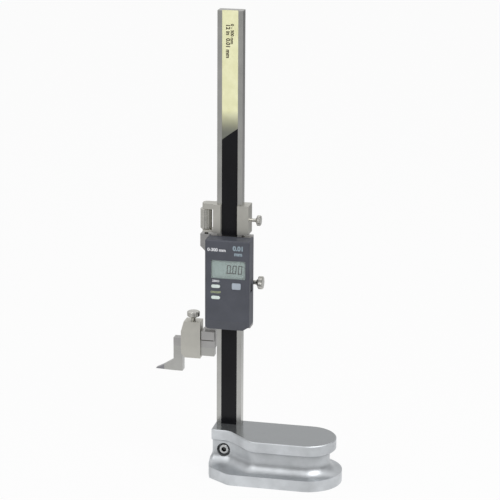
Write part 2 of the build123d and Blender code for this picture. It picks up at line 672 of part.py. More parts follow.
def make_display_window():
    """Clear window in the rebate behind the housing's lip."""
    return block((display_left - DISPLAY_REBATE, display_right + DISPLAY_REBATE),
                 (HOUSING_FRONT + DISPLAY_LIP, wall_inside),
                 (display_top - DISPLAY_HEIGHT - DISPLAY_REBATE, display_top + DISPLAY_REBATE))


def make_display_module():
    """Liquid crystal module between the window and the circuit board."""
    return block((display_left - MODULE_MARGIN, display_right + MODULE_MARGIN),
                 (wall_inside, board_front),
                 (display_top - DISPLAY_HEIGHT - MODULE_MARGIN, display_top + MODULE_MARGIN))


def make_circuit_board():
    """Board on the four posts of the housing."""
    board = block((board_left, board_right), (board_front, board_back), (board_bottom, board_top))
    for x, z in board_post_places():
        board = board - bar(BOARD_SCREW_D + 2 * SEAT_GAP, (x, board_front, z), (0, 1, 0), BOARD_THICKNESS)
    return board


def make_board_screws():
    """Four small screws through the board into the posts."""
    screws = []
    for x, z in board_post_places():
        head = bar(2 * BOARD_SCREW_D, (x, board_back, z), (0, 1, 0), 0.7 * BOARD_SCREW_D)
        shaft = bar(BOARD_SCREW_D, (x, board_back, z), (0, -1, 0), BOARD_THICKNESS + BOARD_SETBACK * 0.7)
        screws.append(head + shaft)
    return pattern(screws)


def make_switches():
    """Three tact switches on the front of the board, one behind each button."""
    gap_to_plunger = BUTTON_TRAVEL + SEAT_GAP
    front = wall_inside + BUTTON_RIM_THICKNESS + 0.5 + gap_to_plunger
    switches = []
    for x, z, _ in BUTTONS.values():
        body = block((x - SWITCH_WIDTH / 2, x + SWITCH_WIDTH / 2), (front + 0.6, board_front),
                     (z - SWITCH_HEIGHT / 2, z + SWITCH_HEIGHT / 2))
        switches.append(body + bar(SWITCH_HEIGHT / 2, (x, front, z), (0, 1, 0), 0.6))
    return pattern(switches)


def make_read_head():
    """Sensor board on the frame's front, with its core through the window to the scale."""
    half = (HEAD_WIDTH / 2 + HEAD_RIM, HEAD_HEIGHT / 2 + HEAD_RIM)
    board = block((-half[0], half[0]), (frame_front - HEAD_BOARD, frame_front),
                  (head_z - half[1], head_z + half[1]))
    core = block((-HEAD_WIDTH / 2, HEAD_WIDTH / 2), (frame_front, channel_front),
                 (head_z - HEAD_HEIGHT / 2, head_z + HEAD_HEIGHT / 2))
    return board + core


def make_board_connector():
    """Header that joins the read head to the circuit board."""
    return block((-6.0, 6.0), (board_back, frame_front - HEAD_BOARD), (head_z - 2.0, head_z + 2.0))


def make_data_connector():
    """Output connector on the back of the board, facing right."""
    body = block((housing_right - HOUSING_WALL - SEAT_GAP - PORT_DEPTH, housing_right - HOUSING_WALL - SEAT_GAP),
                 (board_back, board_back + PORT_SIZE), (port_z - PORT_SIZE / 2, port_z + PORT_SIZE / 2))
    wall = 1.0
    mouth = housing_right - HOUSING_WALL - SEAT_GAP
    return body - block((mouth - PORT_DEPTH / 2, mouth),
                        (board_back + wall, board_back + PORT_SIZE - wall),
                        (port_z - PORT_SIZE / 2 + wall, port_z + PORT_SIZE / 2 - wall))


def make_port_plug():
    """Rubber plug that closes the data port, with a finger groove."""
    outer = housing_right - 0.3
    plug = block((housing_right - HOUSING_WALL - SEAT_GAP, outer), (port_front, port_front + PORT_SIZE),
                 (port_z - PORT_SIZE / 2, port_z + PORT_SIZE / 2))
    groove = block((outer - 0.8, outer), (port_front + 1.2, port_front + PORT_SIZE - 1.2),
                   (port_z - PORT_SIZE / 2, port_z - PORT_SIZE / 2 + 1.6))
    return plug - groove


def make_battery():
    """Silver oxide button cell, its axis across the housing."""
    return bar(BATTERY_D, (battery_left, battery_y, battery_z), (1, 0, 0), BATTERY_THICKNESS)


def make_battery_cap():
    """Round cap with a coin slot, flush with the left side."""
    cap = bar(battery_cap_diameter(), (housing_left, battery_y, battery_z), (1, 0, 0),
              battery_left - housing_left)
    slot = block((housing_left, housing_left + 0.9),
                 (battery_y - BATTERY_D * 0.4, battery_y + BATTERY_D * 0.4),
                 (battery_z - COIN_SLOT / 2, battery_z + COIN_SLOT / 2))
    return cap - slot


def make_battery_contact():
    """Leaf that touches the cell's inner face and the back of the circuit board."""
    thickness = (battery_right, battery_right + CONTACT_THICKNESS)
    foot_top = board_bottom + CONTACT_FOOT
    upright = block(thickness, (board_back, battery_y + CONTACT_FOOT), (battery_z, foot_top))
    foot = block((battery_right, battery_right + CONTACT_FOOT),
                 (board_back, board_back + CONTACT_THICKNESS), (board_bottom + CONTACT_THICKNESS, foot_top))
    return upright + foot


def make_housing_screws():
    """Four screws from the frame's back into the housing's bosses."""
    screws = []
    for x in (left_wall_x, right_wall_x):
        for z in housing_screw_zs:
            seat = channel_back - HOUSING_SCREW_SINK
            head = bar(HOUSING_SCREW_HEAD, (x, seat, z), (0, 1, 0), HOUSING_SCREW_SINK)
            shaft = bar(HOUSING_SCREW_D, (x, seat, z), (0, -1, 0), seat - frame_front + HOUSING_SCREW_BITE)
            screws.append(head + shaft)
    return pattern(screws)


# ---- Fine-feed carriage ----------------------------------------------------------------------
def make_carriage():
    """Block that wraps the column and holds the feed nut in a yoke on its left."""
    front = channel_front - LIP_THICKNESS
    back = channel_back + CARRIAGE_BACK
    lip_left = -half_width + CARRIAGE_LIP
    lip_right = half_width - CARRIAGE_LIP
    right_wall = half_width + SLIDE_GAP
    section = Polygon(
        (carriage_left, front), (lip_left, front), (lip_left, channel_front),
        (channel_left, channel_front), (channel_left, channel_back), (right_wall, channel_back),
        (right_wall, channel_front), (lip_right, channel_front), (lip_right, front),
        (carriage_right, front), (carriage_right, back), (carriage_left, back), align=None)
    carriage = up_z(section, carriage_bottom, carriage_top)
    yoke_left = carriage_left - YOKE_WIDTH
    half = YOKE_DEPTH / 2
    for z in ((carriage_bottom, carriage_bottom + YOKE_FLOOR), (carriage_top - YOKE_ROOF, carriage_top)):
        lug = block((yoke_left, carriage_left), (-half, half), z)
        carriage = carriage + fillet(lug.edges().filter_by(Axis.Z).group_by(Axis.X)[0], half * 0.7)
    carriage = carriage - bar(FEED_D + 4 * THREAD_GAP, (feed_x, 0, carriage_bottom), (0, 0, 1),
                              feed_rod_top + FEED_DOWN - carriage_bottom)
    return carriage - bar(CARRIAGE_SCREW_D + 2 * THREAD_GAP, (right_wall, 0, carriage_screw_z),
                          (1, 0, 0), CARRIAGE_RIGHT)


def toothed(outer, teeth):
    """Outline of a straight knurl."""
    step = math.pi / teeth
    radii = [outer - KNURL_DEPTH, outer]
    points = [(radii[i % 2] * math.cos(i * step), radii[i % 2] * math.sin(i * step))
              for i in range(2 * teeth)]
    return Polygon(*points, align=None)


def knurled(diameter, height, teeth):
    """Short drum along +Z from the origin with a straight knurl and bevelled ends."""
    outer = diameter / 2
    bevel = 2 * KNURL_DEPTH
    rings = [(0, outer - bevel), (bevel, outer), (height - bevel, outer), (height, outer - bevel)]
    return loft([Pos(0, 0, z) * toothed(radius, teeth) for z, radius in rings], ruled=True)


def make_feed_nut():
    """Long knurled nut that turns on the feed rod, captive in the carriage's yoke."""
    nut = Pos(feed_x, 0, nut_bottom) * knurled(NUT_D, nut_top - nut_bottom, NUT_TEETH)
    return nut - bar(FEED_D + 2 * THREAD_GAP, (feed_x, 0, nut_bottom), (0, 0, 1), nut_top - nut_bottom)


# ---- Clamp screws ----------------------------------------------------------------------------
def thumb_screw(diameter, thread, stem, cone, head_d, head_height):
    """Screw along +Z: thread from the origin, bare stem, coned neck and knurled head."""
    neck = diameter * 0.45
    profile = [(0, 0), (diameter / 2 - 0.4, 0), (diameter / 2, 0.4), (diameter / 2, thread),
               (neck, thread + 0.3), (neck, thread + stem), (head_d * 0.36, thread + stem + cone),
               (0, thread + stem + cone)]
    shaft = revolve(Plane.XZ * Polygon(*profile, align=None), Axis.Z)
    return shaft + Pos(0, 0, thread + stem + cone) * knurled(head_d, head_height, KNOB_TEETH)


def along_x(solid, x, z):
    """Turn a screw built along +Z to point along +X, its start at x and z."""
    return Pos(x, 0, z) * Rot(0, 90, 0) * solid


slider_tip_x = channel_right + TIP_GAP
carriage_tip_x = half_width + SLIDE_GAP + TIP_GAP
scriber_tip_z = jaw_top + TIP_GAP


def make_slider_clamp_screw():
    """M5 thumb screw in the frame's right wall."""
    start = slider_tip_x + TIP_LENGTH + TIP_GAP
    screw = thumb_screw(SLIDER_SCREW_D, frame_right - start, SLIDER_STEM, SLIDER_CONE,
                        SLIDER_KNOB_D, SLIDER_KNOB_HEIGHT)
    return along_x(screw, start, slider_screw_z)


def make_carriage_clamp_screw():
    """M4 thumb screw in the carriage's right wall."""
    start = carriage_tip_x + TIP_LENGTH + TIP_GAP
    screw = thumb_screw(CARRIAGE_SCREW_D, carriage_right - start, CARRIAGE_STEM, CARRIAGE_CONE,
                        CARRIAGE_KNOB_D, CARRIAGE_KNOB_HEIGHT)
    return along_x(screw, start, carriage_screw_z)


def make_scriber_clamp_screw():
    """M5 thumb screw in the top of the scriber clamp."""
    start = scriber_tip_z + TIP_LENGTH + TIP_GAP
    screw = thumb_screw(SCRIBER_SCREW_D, clamp_top - start, SCRIBER_STEM, SCRIBER_CONE,
                        SCRIBER_KNOB_D, SCRIBER_KNOB_HEIGHT)
    return Pos(clamp_screw_x, 0, start) * screw


def make_slider_clamp_tip():
    """Brass tip that presses the gib."""
    return bar(SLIDER_SCREW_D, (slider_tip_x, 0, slider_screw_z), (1, 0, 0), TIP_LENGTH)


def make_carriage_clamp_tip():
    """Brass tip that presses the column."""
    return bar(CARRIAGE_SCREW_D, (carriage_tip_x, 0, carriage_screw_z), (1, 0, 0), TIP_LENGTH)


def make_scriber_clamp_tip():
    """Brass tip that presses the jaw."""
    return bar(SCRIBER_SCREW_D, (clamp_screw_x, 0, scriber_tip_z), (0, 0, 1), TIP_LENGTH)


# ---- Scriber ---------------------------------------------------------------------------------
def make_scriber_clamp():
    """Box round jaw and shank, its left side sloping in to the top."""
    floor = shank_bottom - CLAMP_FLOOR
    outline = [(clamp_right - CLAMP_TOP_WIDTH, clamp_top), (clamp_right, clamp_top),
               (clamp_right, floor), (clamp_left + CLAMP_CORNER, floor),
               (clamp_left, floor + CLAMP_CORNER), (clamp_left, jaw_top + CLAMP_SHOULDER)]
    clamp = across_y(outline, -CLAMP_DEPTH / 2, CLAMP_DEPTH / 2)
    half = SHANK / 2 + SEAT_GAP
    clamp = clamp - block((clamp_left, clamp_right), (-half, half),
                          (shank_bottom - SLIDE_GAP, jaw_top + WINDOW_HEADROOM))
    hole_start = (clamp_screw_x, 0, jaw_top + WINDOW_HEADROOM)
    return clamp - bar(SCRIBER_SCREW_D + 2 * THREAD_GAP, hole_start, (0, 0, 1), clamp_top - hole_start[2])


def blade_height(run):
    """Height of the blade above its measuring face, at a distance from the shank's end."""
    if run <= BLADE_KNEE:
        return BLADE_ROOT + (KNEE_HEIGHT - BLADE_ROOT) * run / BLADE_KNEE
    return KNEE_HEIGHT + (TIP_HEIGHT - KNEE_HEIGHT) * (run - BLADE_KNEE) / (BLADE_REACH - BLADE_KNEE)


def blade_plan():
    """Plan of the scriber: parallel at the shank, tapering along the blade."""
    half = SHANK / 2
    tip = TIP_WIDTH / 2
    return up_z(Polygon((shank_right, -half), (shank_right, half), (jaw_left, half), (blade_tip, tip),
                        (blade_tip, -tip), (jaw_left, -half), align=None), READING, jaw_bottom)


def make_scriber():
    """Shank under the jaw, with a leg down to the blade."""
    split = BLADE_REACH - CARBIDE_LENGTH
    outline = [(shank_right, jaw_bottom), (jaw_left, jaw_bottom), (jaw_left, READING + BLADE_ROOT),
               (jaw_left - split, READING + blade_height(split)), (jaw_left - split, READING),
               (leg_right, READING), (leg_right, shank_bottom), (shank_right, shank_bottom)]
    return across_y(outline, -SHANK / 2, SHANK / 2) & blade_plan()


def make_carbide_tip():
    """Carbide edge brazed to the end of the blade."""
    split = BLADE_REACH - CARBIDE_LENGTH
    outline = [(jaw_left - split, READING), (jaw_left - split, READING + blade_height(split)),
               (jaw_left - BLADE_KNEE, READING + KNEE_HEIGHT),
               (blade_tip, READING + TIP_HEIGHT), (blade_tip, READING)]
    return across_y(outline, -SHANK / 2, SHANK / 2) & blade_plan()


# ---- Nodes -----------------------------------------------------------------------------------
NODES = {
    "base": make_base(),
    "column_clamp_screw": make_column_clamp_screw(),
    "column": make_column(),
    "scale_strip": make_scale_strip(),
    "scale_label": make_scale_label(),
    "slider_frame": make_slider_frame(),
    "slider_gib": make_slider_gib(),
    "gib_screws": make_gib_screws(),
    "back_plate": make_back_plate(),
    "plate_screws": make_plate_screws(),
    "feed_rod": make_feed_rod(),
    "housing": make_housing(),
    "housing_screws": make_housing_screws(),
    "display_window": make_display_window(),
    "display_module": make_display_module(),
    "circuit_board": make_circuit_board(),
    "board_screws": make_board_screws(),
    "switches": make_switches(),
    "read_head": make_read_head(),
    "board_connector": make_board_connector(),
    "data_connector": make_data_connector(),
    "port_plug": make_port_plug(),
    "battery": make_battery(),
    "battery_cap": make_battery_cap(),
    "battery_contact": make_battery_contact(),
    "carriage": make_carriage(),
    "feed_nut": make_feed_nut(),
    "slider_clamp_screw": make_slider_clamp_screw(),
    "slider_clamp_tip": make_slider_clamp_tip(),
    "carriage_clamp_screw": make_carriage_clamp_screw(),
    "carriage_clamp_tip": make_carriage_clamp_tip(),
    "scriber_clamp": make_scriber_clamp(),
    "scriber_clamp_screw": make_scriber_clamp_screw(),
    "scriber_clamp_tip": make_scriber_clamp_tip(),
    "scriber": make_scriber(),
    "carbide_tip": make_carbide_tip(),
}
for name, place in BUTTONS.items():
    NODES[name] = make_button(*place)

for name, piece in NODES.items():
    export_step(piece, f"parts/{name}.step")
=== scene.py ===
import math

import bpy
from mathutils import Euler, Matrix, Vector


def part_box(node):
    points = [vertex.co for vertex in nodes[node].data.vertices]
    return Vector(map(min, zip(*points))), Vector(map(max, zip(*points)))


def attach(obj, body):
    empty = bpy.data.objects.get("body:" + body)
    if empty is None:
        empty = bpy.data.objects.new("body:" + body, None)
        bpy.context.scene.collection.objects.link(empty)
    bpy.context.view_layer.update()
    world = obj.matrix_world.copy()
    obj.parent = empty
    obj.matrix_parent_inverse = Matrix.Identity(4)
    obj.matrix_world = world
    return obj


# Digital height gauge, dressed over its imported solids. Lengths are in metres, in the solids' frame:
# +Z up the column, +X along the base, -Y the front.

MM = 0.001
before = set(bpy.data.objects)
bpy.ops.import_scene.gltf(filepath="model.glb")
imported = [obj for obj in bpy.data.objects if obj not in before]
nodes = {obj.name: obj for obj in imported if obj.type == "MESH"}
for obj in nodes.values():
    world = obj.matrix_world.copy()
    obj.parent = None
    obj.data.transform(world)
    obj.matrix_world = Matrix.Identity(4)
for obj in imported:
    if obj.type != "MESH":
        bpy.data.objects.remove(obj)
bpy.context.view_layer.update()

scene = bpy.context.scene
scene.view_settings.view_transform = "Standard"

# ---- Shader nodes ----------------------------------------------------------------------------
# The owner is the material or world that gets the nodes. Each function gives back their output.
NOISE_SPAN = (0.3, 0.7)   # values that noise mostly keeps to
HOLLOW_SAMPLES = 8


def add_node(owner, kind):
    return owner.node_tree.nodes.new(kind)


def connect(owner, value, socket):
    """Feed a socket from another node's output, or set it to a plain value."""
    if isinstance(value, bpy.types.NodeSocket):
        owner.node_tree.links.new(value, socket)
    else:
        socket.default_value = value


def coordinates(owner, kind="Object"):
    """Position ("Object"), surface direction ("Normal") or, in a world, direction ("Generated")."""
    return add_node(owner, "ShaderNodeTexCoord").outputs[kind]


def coordinate(owner, kind, axis):
    split = add_node(owner, "ShaderNodeSeparateXYZ")
    connect(owner, coordinates(owner, kind), split.inputs[0])
    return split.outputs[axis]


def math_node(owner, operation, first, second):
    node = add_node(owner, "ShaderNodeMath")
    node.operation = operation
    connect(owner, first, node.inputs[0])
    connect(owner, second, node.inputs[1])
    return node.outputs[0]


def remap(owner, value, low=0.0, high=1.0, source=NOISE_SPAN, smooth=False):
    """Value, taken from the source range to low and high."""
    node = add_node(owner, "ShaderNodeMapRange")
    if smooth:
        node.interpolation_type = "SMOOTHSTEP"
    node.inputs["From Min"].default_value = source[0]
    node.inputs["From Max"].default_value = source[1]
    node.inputs["To Min"].default_value = low
    node.inputs["To Max"].default_value = high
    connect(owner, value, node.inputs["Value"])
    return node.outputs["Result"]


def mix_values(owner, factor, first, second):
    """Number between two, each a plain one or another node's output."""
    node = add_node(owner, "ShaderNodeMix")
    node.data_type = "FLOAT"
    connect(owner, factor, node.inputs[0])
    connect(owner, first, node.inputs[2])
    connect(owner, second, node.inputs[3])
    return node.outputs[0]


def ray_switch(owner, ray, other, seen):
    """One value for rays of a kind, another for the rest."""
    return mix_values(owner, add_node(owner, "ShaderNodeLightPath").outputs[ray], other, seen)


def mix_colors(owner, factor, first, second):
    """Colour between two, each a colour value or another node's output."""
    node = add_node(owner, "ShaderNodeMix")
    node.data_type = "RGBA"
    connect(owner, factor, node.inputs[0])
    for value, socket in ((first, node.inputs[6]), (second, node.inputs[7])):
        connect(owner, value if isinstance(value, bpy.types.NodeSocket) else (*value, 1.0), socket)
    return node.outputs[2]


# ---- Camera and studio -----------------------------------------------------------------------
CAMERA_AZIMUTH = math.radians(12.1)
CAMERA_ELEVATION = math.radians(16.02)
CAMERA_ROLL = math.radians(0.38)
CAMERA_DISTANCE = 2.036
CAMERA_TARGET = Vector((0.0203, 0.0, 0.2363))
CAMERA_LENS = 143.6
CAMERA_CLIP = 30.0        # past the far edge of the floor
SENSOR = 36.0

AMBIENT = 0.55            # even light from all round
ROOM_FRONT = 0.25         # reflected room: dark in front of the object, paler behind it
ROOM_BACK = 0.75
ROOM_DEPTH = (-0.7, 0.8)
ROOM_SIDE = 0.4           # share that is left on the right
ROOM_ABOVE = 0.95
ROOM_TURN = (0.25, 0.75)  # directions over which the right side and the ceiling set in

# Name, azimuth and elevation in degrees, distance, size, power in watts.
SOFTBOXES = (
    ("key", 50.0, 42.0, 1.9, (1.1, 1.5), 20.0),
    ("fill", -35.0, 30.0, 2.0, (1.2, 1.4), 7.0),
)


def from_camera(azimuth, elevation, distance):
    """Point at a distance from the camera's target; azimuth 0 is in front of it."""
    away = Vector((math.sin(azimuth) * math.cos(elevation),
                   -math.cos(azimuth) * math.cos(elevation), math.sin(elevation)))
    return CAMERA_TARGET + distance * away


def aim(obj, target):
    """Turn an object so that its -Z looks at the target."""
    obj.rotation_euler = (target - obj.location).to_track_quat("-Z", "Y").to_euler()


def add_camera():
    data = bpy.data.cameras.new("camera")
    data.sensor_fit = "HORIZONTAL"
    data.sensor_width = SENSOR
    data.lens = CAMERA_LENS
    data.clip_end = CAMERA_CLIP
    camera = bpy.data.objects.new("camera", data)
    scene.collection.objects.link(camera)
    camera.location = from_camera(CAMERA_AZIMUTH, CAMERA_ELEVATION, CAMERA_DISTANCE)
    aim(camera, CAMERA_TARGET)
    camera.rotation_euler.rotate_axis("Z", CAMERA_ROLL)
    scene.camera = camera


def add_softbox(name, azimuth, elevation, distance, size, power):
    data = bpy.data.lights.new(name, "AREA")
    data.shape = "RECTANGLE"
    data.size, data.size_y = size
    data.energy = power
    light = bpy.data.objects.new(name, data)
    scene.collection.objects.link(light)
    light.location = from_camera(math.radians(azimuth), math.radians(elevation), distance)
    aim(light, CAMERA_TARGET)


def add_world():
    """White to the camera, even light, and a room that only reflections show."""
    world = bpy.data.worlds.new("studio")
    world.use_nodes = True
    background = world.node_tree.nodes["Background"]
    background.inputs["Color"].default_value = (1.0, 1.0, 1.0, 1.0)
    depth, side, height = (coordinate(world, "Generated", axis) for axis in "YXZ")
    room = remap(world, depth, ROOM_FRONT, ROOM_BACK, ROOM_DEPTH, smooth=True)
    right = remap(world, side, 1.0, ROOM_SIDE, ROOM_TURN, smooth=True)
    ceiling = remap(world, height, 0.0, ROOM_ABOVE, ROOM_TURN, smooth=True)
    room = math_node(world, "MAXIMUM", math_node(world, "MULTIPLY", room, right), ceiling)
    strength = ray_switch(world, "Is Glossy Ray", AMBIENT, room)
    strength = ray_switch(world, "Is Transmission Ray", strength, 1.0)
    strength = ray_switch(world, "Is Camera Ray", strength, 1.0)
    connect(world, strength, background.inputs["Strength"])
    scene.world = world


# ---- Material helpers ------------------------------------------------------------------------
def shader_of(material):
    return material.node_tree.nodes["Principled BSDF"]


def new_material(name, color, metallic=0.0, roughness=0.5, **sockets):
    """Principled material with the values that are even all over set on the shader itself."""
    material = bpy.data.materials.new(name)
    material.use_nodes = True
    inputs = shader_of(material).inputs
    inputs["Base Color"].default_value = (*color, 1.0)
    inputs["Metallic"].default_value = metallic
    inputs["Roughness"].default_value = roughness
    for socket, value in sockets.items():
        inputs[socket.replace("_", " ")].default_value = value
    return material


def drive(material, value, socket):
    """Feed one of the shader's own sockets from a node's output."""
    connect(material, value, shader_of(material).inputs[socket])


def stretched_noise(material, scale, stretch=(1.0, 1.0, 1.0), detail=3.0):
    """Noise over the object's own coordinates; scale is cycles per metre."""
    mapping = add_node(material, "ShaderNodeMapping")
    mapping.inputs["Scale"].default_value = stretch
    noise = add_node(material, "ShaderNodeTexNoise")
    noise.inputs["Scale"].default_value = scale
    noise.inputs["Detail"].default_value = detail
    connect(material, coordinates(material), mapping.inputs["Vector"])
    connect(material, mapping.outputs["Vector"], noise.inputs["Vector"])
    return noise.outputs["Fac"]


def openness(material, distance):
    """1 where the object's own surface is open, towards 0 deep in its hollows."""
    node = add_node(material, "ShaderNodeAmbientOcclusion")
    node.only_local = True
    node.samples = HOLLOW_SAMPLES
    node.inputs["Distance"].default_value = distance
    return node.outputs["AO"]


def add_bump(material, *layers):
    """Bump from layers of (height value, depth in metres), one on top of another."""
    below = None
    for height, depth in layers:
        node = add_node(material, "ShaderNodeBump")
        node.inputs["Distance"].default_value = depth
        connect(material, height, node.inputs["Height"])
        if below:
            connect(material, below, node.inputs["Normal"])
        below = node.outputs["Normal"]
    drive(material, below, "Normal")


def tinted(color, factor):
    return tuple(factor * c for c in color)


def clouded(material, noise, color, darker, lighter=1.0):
    """The colour, varied by noise between two multiples of itself."""
    factor = remap(material, noise)
    return mix_colors(material, factor, tinted(color, darker), tinted(color, lighter))


# ---- Materials -------------------------------------------------------------------------------
GRIND_LENGTH = 0.02       # noise scale along ground lines, as a share of that across them
SATIN = (0.32, 0.46)      # roughness ranges
LAPPED = (0.12, 0.2)
SEMI_GLOSS = (0.3, 0.45)
PRINTED = (0.45, 0.6)
BUTTON = (0.35, 0.45)

# Painted shade: a dark line on the jaw arm, under the step of the block above it.
JAW_SHADE_LINE_RISE = 9.3 * MM  # painted shade line on the jaw arm, above its underside
JAW_SHADE_LINE_EDGE = (0.3 * MM, 0.7 * MM)
JAW_SHADE_LINE_END = (5 * MM, 6 * MM)       # behind the housing, from its left edge
JAW_SHADE_LINE_COLOR = (0.09, 0.085, 0.08)

BASE_SIDE = (0.595, 0.618, 0.64)
BASE_TOP = (0.345, 0.36, 0.37)
BASE_METALLIC = 0.82
BASE_TOP_NORMAL = (0.9, 0.98)         # upward direction from which the casting is ground
BASE_TOP_EDGE = (1.6 * MM, 0.4 * MM)  # below the top, where the ground face begins
# Painted shade: the casting's colour is darkened in its hollows and on faces that do not look up.
BASE_PAINTED_SHADE_REACH = 22 * MM                 # reach of the painted shade in the waist
BASE_PAINTED_SHADE = 0.3

SOCKET_SHADE_REACH = 4 * MM
THREAD_DEPTH = 0.3 * MM
FEED_PITCH = 0.5 * MM
WAVE_UNIT = math.pi / 10.0            # the wave texture's scale for one band per metre

LABEL_FADE = (6 * MM, 30 * MM)        # from the label's lower end
LABEL_FADE_POWER = 1.6


def ground_steel(name, color, along, roughness=(0.24, 0.38)):
    """Steel ground in one direction: fine lines, with cloudy variation over them."""
    material = new_material(name, color, metallic=1.0)
    stretch = tuple(GRIND_LENGTH if axis == along else 1.0 for axis in "XYZ")
    lines = stretched_noise(material, 2600.0, stretch, detail=2.0)
    clouds = stretched_noise(material, 55.0, detail=4.0)
    drive(material, clouded(material, clouds, color, 0.86), "Base Color")
    spread = math_node(material, "ADD", math_node(material, "MULTIPLY", lines, 0.5),
                       math_node(material, "MULTIPLY", clouds, 0.5))
    drive(material, remap(material, spread, *roughness), "Roughness")
    add_bump(material, (lines, 0.02 * MM))
    return material


def jaw_steel():
    """Frame steel with a painted shade line across the front of the jaw arm."""
    material = ground_steel("frame_steel", (0.46, 0.455, 0.45), "Z")
    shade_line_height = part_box("slider_frame")[0][2] + JAW_SHADE_LINE_RISE
    offset = math_node(material, "SUBTRACT", coordinate(material, "Object", "Z"), shade_line_height)
    away = remap(material, math_node(material, "ABSOLUTE", offset, 0.0), source=JAW_SHADE_LINE_EDGE)
    housing_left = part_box("housing")[0][0]
    beyond = remap(material, coordinate(material, "Object", "X"),
                   source=tuple(housing_left + end for end in JAW_SHADE_LINE_END))
    off_shade_line = math_node(material, "MAXIMUM", away, beyond)
    steel = shader_of(material).inputs["Base Color"].links[0].from_socket
    # painted shade line mixed into the steel's colour
    drive(material, mix_colors(material, off_shade_line, JAW_SHADE_LINE_COLOR, steel), "Base Color")
    return material


def cast_base_material():
    """Satin plated casting with painted shade in its hollows and on faces that do not look up, whose
    top face is ground smooth.
    """
    material = new_material("base_plating", BASE_SIDE, metallic=BASE_METALLIC)
    grain = stretched_noise(material, 900.0, detail=5.0)
    clouds = stretched_noise(material, 45.0, detail=4.0)
    lines = stretched_noise(material, 1800.0, (0.03, 1.0, 1.0), detail=2.0)
    facing_up = coordinate(material, "Normal", "Z")
    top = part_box("base")[1][2]
    ground = math_node(material, "MULTIPLY", remap(material, facing_up, source=BASE_TOP_NORMAL),
                       remap(material, coordinate(material, "Object", "Z"),
                             source=tuple(top - edge for edge in BASE_TOP_EDGE)))
    satin = clouded(material, clouds, BASE_SIDE, 0.78, 1.08)
    # Painted shade: the colour goes darker in the hollows, except on faces that look up.
    outside_painted_shade = math_node(material, "MAXIMUM",
                        remap(material, openness(material, BASE_PAINTED_SHADE_REACH), source=(0.3, 0.95)),
                        remap(material, facing_up, source=(0.1, 0.5)))
    satin = mix_colors(material, outside_painted_shade, tinted(BASE_SIDE, BASE_PAINTED_SHADE), satin)
    drive(material, mix_colors(material, ground, satin, BASE_TOP), "Base Color")
    rough = remap(material, grain, 0.35, 0.44)
    polished = remap(material, lines, 0.14, 0.22)
    drive(material, mix_values(material, ground, rough, polished), "Roughness")
    add_bump(material, (grain, 0.05 * MM), (clouds, 0.35 * MM))
    return material


def moulded_plastic(name, color, roughness=(0.42, 0.55), grain=0.03, scale=2200.0):
    """Moulded plastic with a fine spark texture and slight cloudiness; grain is in mm."""
    material = new_material(name, color)
    texture = stretched_noise(material, scale, detail=4.0)
    clouds = stretched_noise(material, 70.0, detail=2.0)
    drive(material, clouded(material, clouds, color, 0.9, 1.06), "Base Color")
    drive(material, remap(material, texture, *roughness), "Roughness")
    add_bump(material, (texture, grain * MM))
    return material


def satin_chrome(name, color):
    """Plated or turned metal with cloudy reflections."""
    material = new_material(name, color, metallic=1.0)
    clouds = stretched_noise(material, 240.0, detail=3.0)
    drive(material, clouded(material, clouds, color, 0.84), "Base Color")
    drive(material, remap(material, clouds, 0.16, 0.30), "Roughness")
    add_bump(material, (clouds, 0.02 * MM))
    return material


def socket_steel():
    """Plated screw with painted shade, near black, deep in its hexagon socket."""
    plated, socket_shade = (0.52, 0.53, 0.53), (0.02, 0.02, 0.02)
    material = new_material("socket_steel", plated, metallic=1.0)
    # Painted shade: the colour goes near black deep in the hexagon socket, where shade falls.
    socket_unshaded = remap(material, openness(material, SOCKET_SHADE_REACH), source=(0.55, 0.9))
    drive(material, mix_colors(material, socket_unshaded, socket_shade, plated), "Base Color")
    grain = stretched_noise(material, 1500.0)
    drive(material, remap(material, grain, 0.28, 0.42), "Roughness")
    return material


def threaded(name, color, pitch):
    """Bright steel with a screw thread along the object's Z."""
    material = satin_chrome(name, color)
    wave = add_node(material, "ShaderNodeTexWave")
    wave.bands_direction = "Z"
    wave.inputs["Scale"].default_value = WAVE_UNIT / pitch
    connect(material, coordinates(material), wave.inputs["Vector"])
    add_bump(material, (wave.outputs["Fac"], THREAD_DEPTH))
    return material


def label_material():
    """Cream film that fades to the strip's black at its slanted lower end."""
    material = new_material("label_film", (0.80, 0.79, 0.50), roughness=0.42)
    mottling = stretched_noise(material, 120.0, detail=3.0)
    cream = mix_colors(material, remap(material, mottling), (0.76, 0.75, 0.45), (0.84, 0.83, 0.54))
    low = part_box("scale_label")[0][2]
    fade = remap(material, coordinate(material, "Object", "Z"),
                 source=tuple(low + end for end in LABEL_FADE))
    fade = math_node(material, "POWER", fade, LABEL_FADE_POWER)
    drive(material, mix_colors(material, fade, (0.15, 0.155, 0.13), cream), "Base Color")
    add_bump(material, (mottling, 0.01 * MM))
    return material


def strip_material():
    """Glossy black film over the scale, with faint streaks along it."""
    material = new_material("strip_black", (0.004, 0.004, 0.005), Specular_IOR_Level=0.2)
    clouds = stretched_noise(material, 45.0, (1.0, 1.0, 0.3), detail=3.0)
    drive(material, remap(material, clouds, 0.16, 0.30), "Roughness")
    blacks = (0.003, 0.003, 0.004), (0.007, 0.007, 0.009)
    drive(material, mix_colors(material, remap(material, clouds), *blacks), "Base Color")
    return material


def window_material():
    """Clear pane with faint smears."""
    material = new_material("display_glass", (0.90, 0.95, 0.93), roughness=0.06, Alpha=0.12)
    smears = stretched_noise(material, 90.0, detail=2.0)
    drive(material, remap(material, smears, 0.04, 0.12), "Roughness")
    return material


